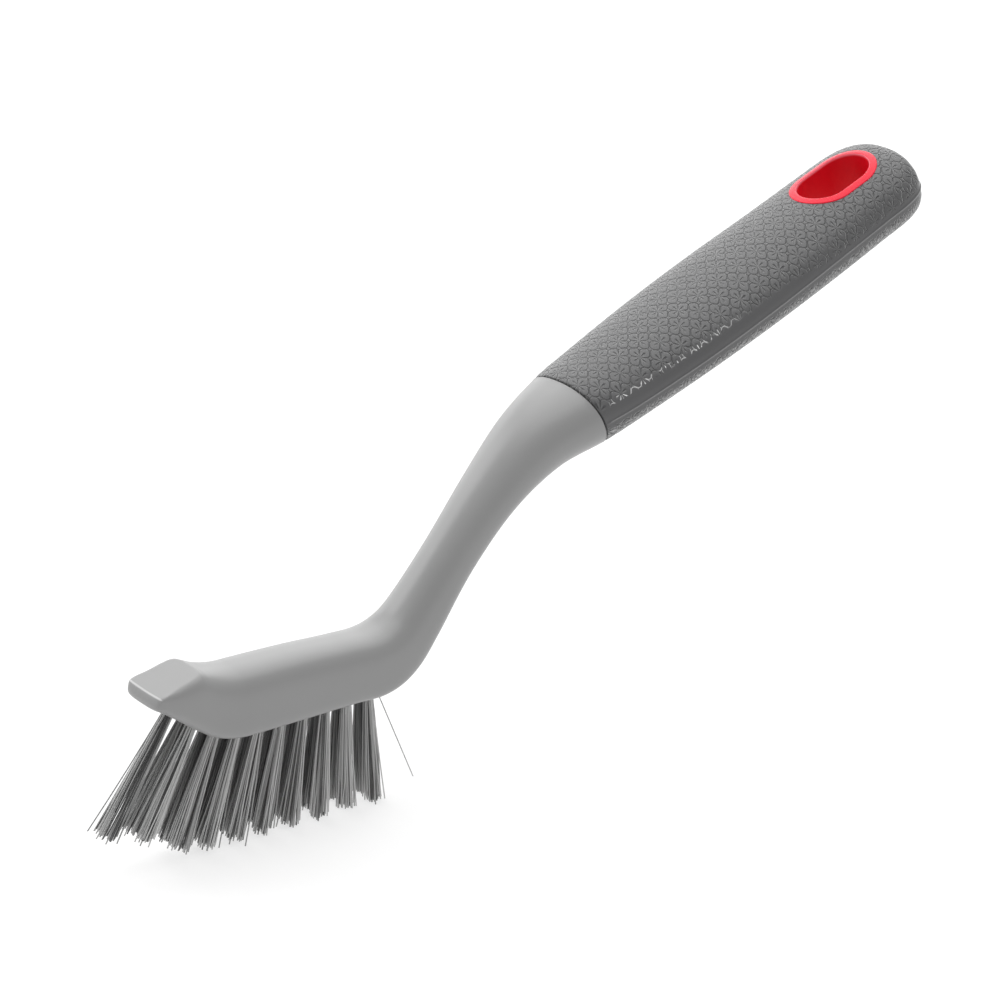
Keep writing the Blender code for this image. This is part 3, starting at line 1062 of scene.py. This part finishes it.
def liner_red():
    finish = Finish("liner_red", IOR=1.5, Specular_IOR_Level=0.3)
    place = finish.node("TexCoord", out=3)
    drift = finish.noise(place, 80.0)
    grain = finish.noise(place, 1800.0, 1.0)
    sheet = finish.node("UVMap", settings={"uv_map": "sheet"})
    station = finish.part(sheet, 0) * STATIONS
    # Masks of the painted shade on the wall inside the slot and the painted highlight on its rim.
    wall = 1 - finish.smooth_step(abs(station - WALL_STATION), 2.6, 4.2)
    rim_highlight = 1 - finish.smooth_step(abs(station - RIM_STATION), 0.4, 1.5)
    tone = finish.blend(drift, *LIP_TONES)
    tone = finish.blend(wall * 0.85, tone, WALL_SHADE_TONE)
    tone = finish.blend(rim_highlight * 0.9, tone, RIM_HIGHLIGHT_TONE)
    normal = finish.bump(grain, 0.04 * MM, 0.3)
    roughness = 0.3 + drift * 0.06 + wall * 0.15
    return finish.complete(Base_Color=tone, Roughness=roughness, Normal=normal)


LINER_RED = liner_red()
print("made", LINER_RED.name)

# %% The liner's ring


def liner():
    """A sheet rolled down one lip, through the slot and up the other, then bent into a ring."""
    stations = [(offset, height, 1) for offset, height in LINER_PROFILE]
    stations += [(offset, height, -1) for offset, height in reversed(LINER_PROFILE)]
    count = len(stadium(0))

    def place(station, index):
        offset, height, face = station
        along, across = stadium(offset)[index % count]
        return slot_place(along, across, face * (grip_height(along, across) + height))

    shape = wrapped([*stations, stations[0]], range(count + 1), place)
    close_round(shape)
    return shape


show("slot_liner", liner(), LINER_RED, "liner_red", "hang_slot_liner", crease=60)

# %% [markdown]
# ## The filaments
# Bristles are drawn nylon: straight, a little shiny, and see-through enough that no two look equally
# grey. Hair curves could draw them, but real rods keep their cut ends. One rod is modelled and copied
# along every path, and each copy carries its own shade as an attribute of its points. Little light
# reaches between the two rows, so the filaments there are darker near the head, which fades out
# towards their cut ends.

# %% Filament nylon
NYLON_TONES = [(0.014, 0.014, 0.015), (0.66, 0.66, 0.655)]


def filament_nylon():
    finish = Finish("filament_nylon", IOR=1.53)
    shade = finish.node("Attribute", settings={"attribute_name": "shade"}, out=2)
    tone = finish.blend(shade, *NYLON_TONES)
    return finish.complete(Base_Color=tone, Roughness=0.3 + shade * 0.15)


FILAMENT_NYLON = filament_nylon()
print("made", FILAMENT_NYLON.name)

# %% One straight filament to copy
FILAMENT_RADIUS = 0.17
FILAMENT_SIDES = 5
FILAMENT_CUTS = 3


def filament_master():
    """A thin closed rod one unit long, as a mesh that every filament starts from."""
    shape = bmesh.new()
    bmesh.ops.create_cone(
        shape,
        cap_ends=True,
        segments=FILAMENT_SIDES,
        radius1=1,
        radius2=1,
        depth=1,
        matrix=Matrix.Translation((0, 0, 0.5)),
    )
    long_edges = [edge for edge in shape.edges if abs(edge.verts[0].co.z - edge.verts[1].co.z) > 0.5]
    bmesh.ops.subdivide_edges(shape, edges=long_edges, cuts=FILAMENT_CUTS)
    mesh = bpy.data.meshes.new("filament_master")
    shape.to_mesh(mesh)
    shape.free()
    return mesh


MASTER = filament_master()
print("faces in one filament:", len(MASTER.polygons))

# %% The paths of a tuft's filaments
FILAMENTS = 66
ROOT_DEPTH = 2.5
ROOT_JITTER = 0.2
TIP_SCATTER = 0.4
STRAY_SHARE = 0.08
STRAY_SCATTER = 0.95
STRAY_LENGTH = 1.3
SHORTER = 0.8
TRIM_SCATTER = 0.9
BOW = 0.2
DARK_SHARE = 0.18
DARK_SHADE = 0.1
LEAST_SHADE = 0.44

FilamentPath = namedtuple("FilamentPath", "root tip bow shade")


def filament_paths(trim, root_radius, tip_radius, chance):
    """For every filament: its root, its tip and how far it bows, standing at the origin."""
    golden = math.pi * (3 - math.sqrt(5))
    paths = []
    for index in range(FILAMENTS):
        radius = root_radius * math.sqrt((index + 0.5) / FILAMENTS)
        angle = index * golden + chance.uniform(-ROOT_JITTER, ROOT_JITTER)
        root = Vector((radius * math.cos(angle), radius * math.sin(angle), -ROOT_DEPTH))
        stray = chance.random() < STRAY_SHARE
        scatter = STRAY_SCATTER if stray else TIP_SCATTER
        length = trim - SHORTER + chance.uniform(-1, 1) * TRIM_SCATTER + STRAY_LENGTH * stray
        spread = Vector((root.x, root.y, 0)) * tip_radius / root_radius
        tip = spread + Vector((chance.gauss(0, scatter), chance.gauss(0, scatter), length))
        bow = Vector((chance.gauss(0, BOW), chance.gauss(0, BOW), 0))
        shade = DARK_SHADE if chance.random() < DARK_SHARE else chance.uniform(LEAST_SHADE, 1)
        paths.append(FilamentPath(root, tip, bow, shade))
    return paths


print("filaments in all:", FILAMENTS * len(places))

# %% One filament along its path
INNER = 0.9
OUTER = 2.4
ROOT_SHADOW = 0.96


def add_filament(shape, layer, place, path):
    """Copies the master along one path, and trims it at the surface that the brush stands on."""
    root, tip, bow, shade = path
    foot = place.matrix @ (tip * MM)
    top = place.matrix @ (root * MM)
    if foot.z < 0:
        tip = tip + (root - tip) * (-foot.z / (top.z - foot.z))
    dark = (1 - step(abs(top.y) / MM, INNER, OUTER)) * place.shading
    first = len(shape.verts)
    shape.from_mesh(MASTER)
    shape.verts.ensure_lookup_table()
    for vertex in shape.verts[first:]:
        share = vertex.co.z
        centre = root.lerp(tip, share) + bow * 4 * share * (1 - share)
        thick = Vector((vertex.co.x, vertex.co.y, 0)) * FILAMENT_RADIUS
        vertex.co = place.matrix @ ((centre + thick) * MM)
        vertex[layer] = shade * (1 - ROOT_SHADOW * dark * (1 - share * share))


print("filaments more than", OUTER, "mm from the middle stay light")

# %% The tufts, with one stray filament behind the last
FRONT_ROOT_RADIUS = 1.2
REAR_ROOT_RADIUS = 0.85
FRONT_TIP_RADIUS = 2.7
REAR_TIP_RADIUS = 2.0
RADIUS_SPREAD = 0.35
STRAY_TUFT = "left_9"
STRAY_ROOT = Vector((1.2, 0.35, -ROOT_DEPTH))
STRAY_TIP = world(76.6, -3.0, -25.8)
STRAY_SHADE = 0.8


def tuft(name, place, seed):
    """The filaments of one tuft as one piece, tighter the further back it stands."""
    shape = bmesh.new()
    layer = shape.verts.layers.float.new("shade")
    chance = random.Random(seed)
    behind = int(name[-1]) / len(FORWARD_LEANS) if name != "front" else 0
    tip_radius = FRONT_TIP_RADIUS + (REAR_TIP_RADIUS - FRONT_TIP_RADIUS) * behind
    tip_radius += chance.uniform(-1, 1) * RADIUS_SPREAD
    root_radius = FRONT_ROOT_RADIUS + (REAR_ROOT_RADIUS - FRONT_ROOT_RADIUS) * behind
    for path in filament_paths(place.trim, root_radius, tip_radius, chance):
        add_filament(shape, layer, place, path)
    if name == STRAY_TUFT:
        tip = (place.matrix.inverted() @ STRAY_TIP) / MM
        straight = Vector((0, 0, 0))
        add_filament(shape, layer, place, FilamentPath(STRAY_ROOT, tip, straight, STRAY_SHADE))
    bmesh.ops.recalc_face_normals(shape, faces=shape.faces)
    show(f"bristles_{name}", shape, FILAMENT_NYLON, "filament", f"tuft_{name}", crease=70)


for seed, (name, place) in enumerate(places.items()):
    tuft(name, place, seed)

# %% [markdown]
# ## The anchors
# A flat strip of metal across the fold holds each tuft in its hole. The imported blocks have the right
# shape already and only get a bright metal finish.

# %% Anchor metal
METAL_TONES = [(0.62, 0.56, 0.40), (0.74, 0.68, 0.50)]


def anchor_metal():
    finish = Finish("anchor_metal", Metallic=1.0)
    place = finish.node("TexCoord", out=3)
    drift = finish.noise(place, 900.0)
    tone = finish.blend(drift, *METAL_TONES)
    return finish.complete(Base_Color=tone, Roughness=0.3 + drift * 0.15)


ANCHOR_METAL = anchor_metal()
for name in places:
    node = frame["nodes"][f"anchor_{name}"]
    node.data.materials.clear()
    node.data.materials.append(ANCHOR_METAL)
print("anchors finished:", len(places))

# %% [markdown]
# ## Studio
# The photograph is a product shot on white. One large panel hangs overhead, three smaller ones behind
# the brush draw the highlights along its upper edges, and the world gives an even fill. The floor is
# a pale sheet that glows a little, as a lit table does, so the shadow on it is faint.

# %% Floor and world
FLOOR_SIZE = 4.0
FLOOR_TONES = [(0.34, 0.34, 0.34), (0.36, 0.36, 0.36)]
FLOOR_GLOW = 0.66
WORLD_COLOUR = (1, 1, 1, 1)
WORLD_STRENGTH = 0.4


def floor_paint():
    finish = Finish("floor_paint", Roughness=0.9, Emission_Strength=FLOOR_GLOW)
    place = finish.node("TexCoord", out=3)
    return finish.complete(Base_Color=finish.blend(finish.noise(place, 3.0), *FLOOR_TONES))


floor_shape = bmesh.new()
bmesh.ops.create_grid(floor_shape, x_segments=1, y_segments=1, size=FLOOR_SIZE / 2)
floor_mesh = bpy.data.meshes.new("floor")
floor_shape.to_mesh(floor_mesh)
floor_shape.free()
floor_mesh.materials.append(floor_paint())
floor = bpy.data.objects.new("floor", floor_mesh)
bpy.context.scene.collection.objects.link(floor)

studio = bpy.data.worlds.new("studio")
studio.use_nodes = True
background = studio.node_tree.nodes["Background"]
background.inputs["Color"].default_value = WORLD_COLOUR
background.inputs["Strength"].default_value = WORLD_STRENGTH
bpy.context.scene.world = studio
bpy.context.scene.view_settings.view_transform = "Standard"
print("floor laid, with a fill of", WORLD_STRENGTH)

# %% Lights
AIM = Vector((0, 0, 0.06))


def panel(name, place, size, power):
    """A square soft light at a place, facing the brush."""
    light = bpy.data.lights.new(name, "AREA")
    light.size = size
    light.energy = power
    lamp = bpy.data.objects.new(name, light)
    lamp.location = place
    lamp.rotation_euler = (AIM - Vector(place)).to_track_quat("-Z", "Y").to_euler()
    bpy.context.scene.collection.objects.link(lamp)


panel("overhead", place=(0.2, 0.3, 1.5), size=2.0, power=24.6)
panel("right_back_panel", place=(0.9, 1.3, 0.75), size=1.4, power=9.2)
panel("left_back_panel", place=(-0.8, 1.2, 1.0), size=0.7, power=6.0)
panel("low_back_panel", place=(-0.15, 1.5, 0.45), size=0.8, power=4.0)
print("lights hung:", len(bpy.data.lights))

# %% [markdown]
# ## The camera
# The photograph looks at the brush from its nose side and from above. The camera could be placed by
# eye, but two angles and a distance from a target put it in the same view every time. A long lens
# keeps the near and far ends of the brush in proportion.

# %% Camera at the photograph's view
VIEW_ROUND = math.radians(36.5)
VIEW_DOWN = math.radians(21)
VIEW_DISTANCE = 0.8
VIEW_TARGET = world(105.4, 0, 39.3)
SENSOR_WIDTH = 36
LENS_PER_DISTANCE = 4.1

forward = Vector((
    math.sin(VIEW_ROUND) * math.cos(VIEW_DOWN),
    math.cos(VIEW_ROUND) * math.cos(VIEW_DOWN),
    -math.sin(VIEW_DOWN),
))
camera_data = bpy.data.cameras.new("camera")
camera_data.sensor_width = SENSOR_WIDTH
camera_data.lens = LENS_PER_DISTANCE * VIEW_DISTANCE * SENSOR_WIDTH
camera_data.clip_start = 0.05
camera = bpy.data.objects.new("camera", camera_data)
camera.location = VIEW_TARGET - forward * VIEW_DISTANCE
camera.rotation_euler = forward.to_track_quat("-Z", "Y").to_euler()
bpy.context.scene.collection.objects.link(camera)
bpy.context.scene.camera = camera
print("camera", round(camera_data.lens), "mm")
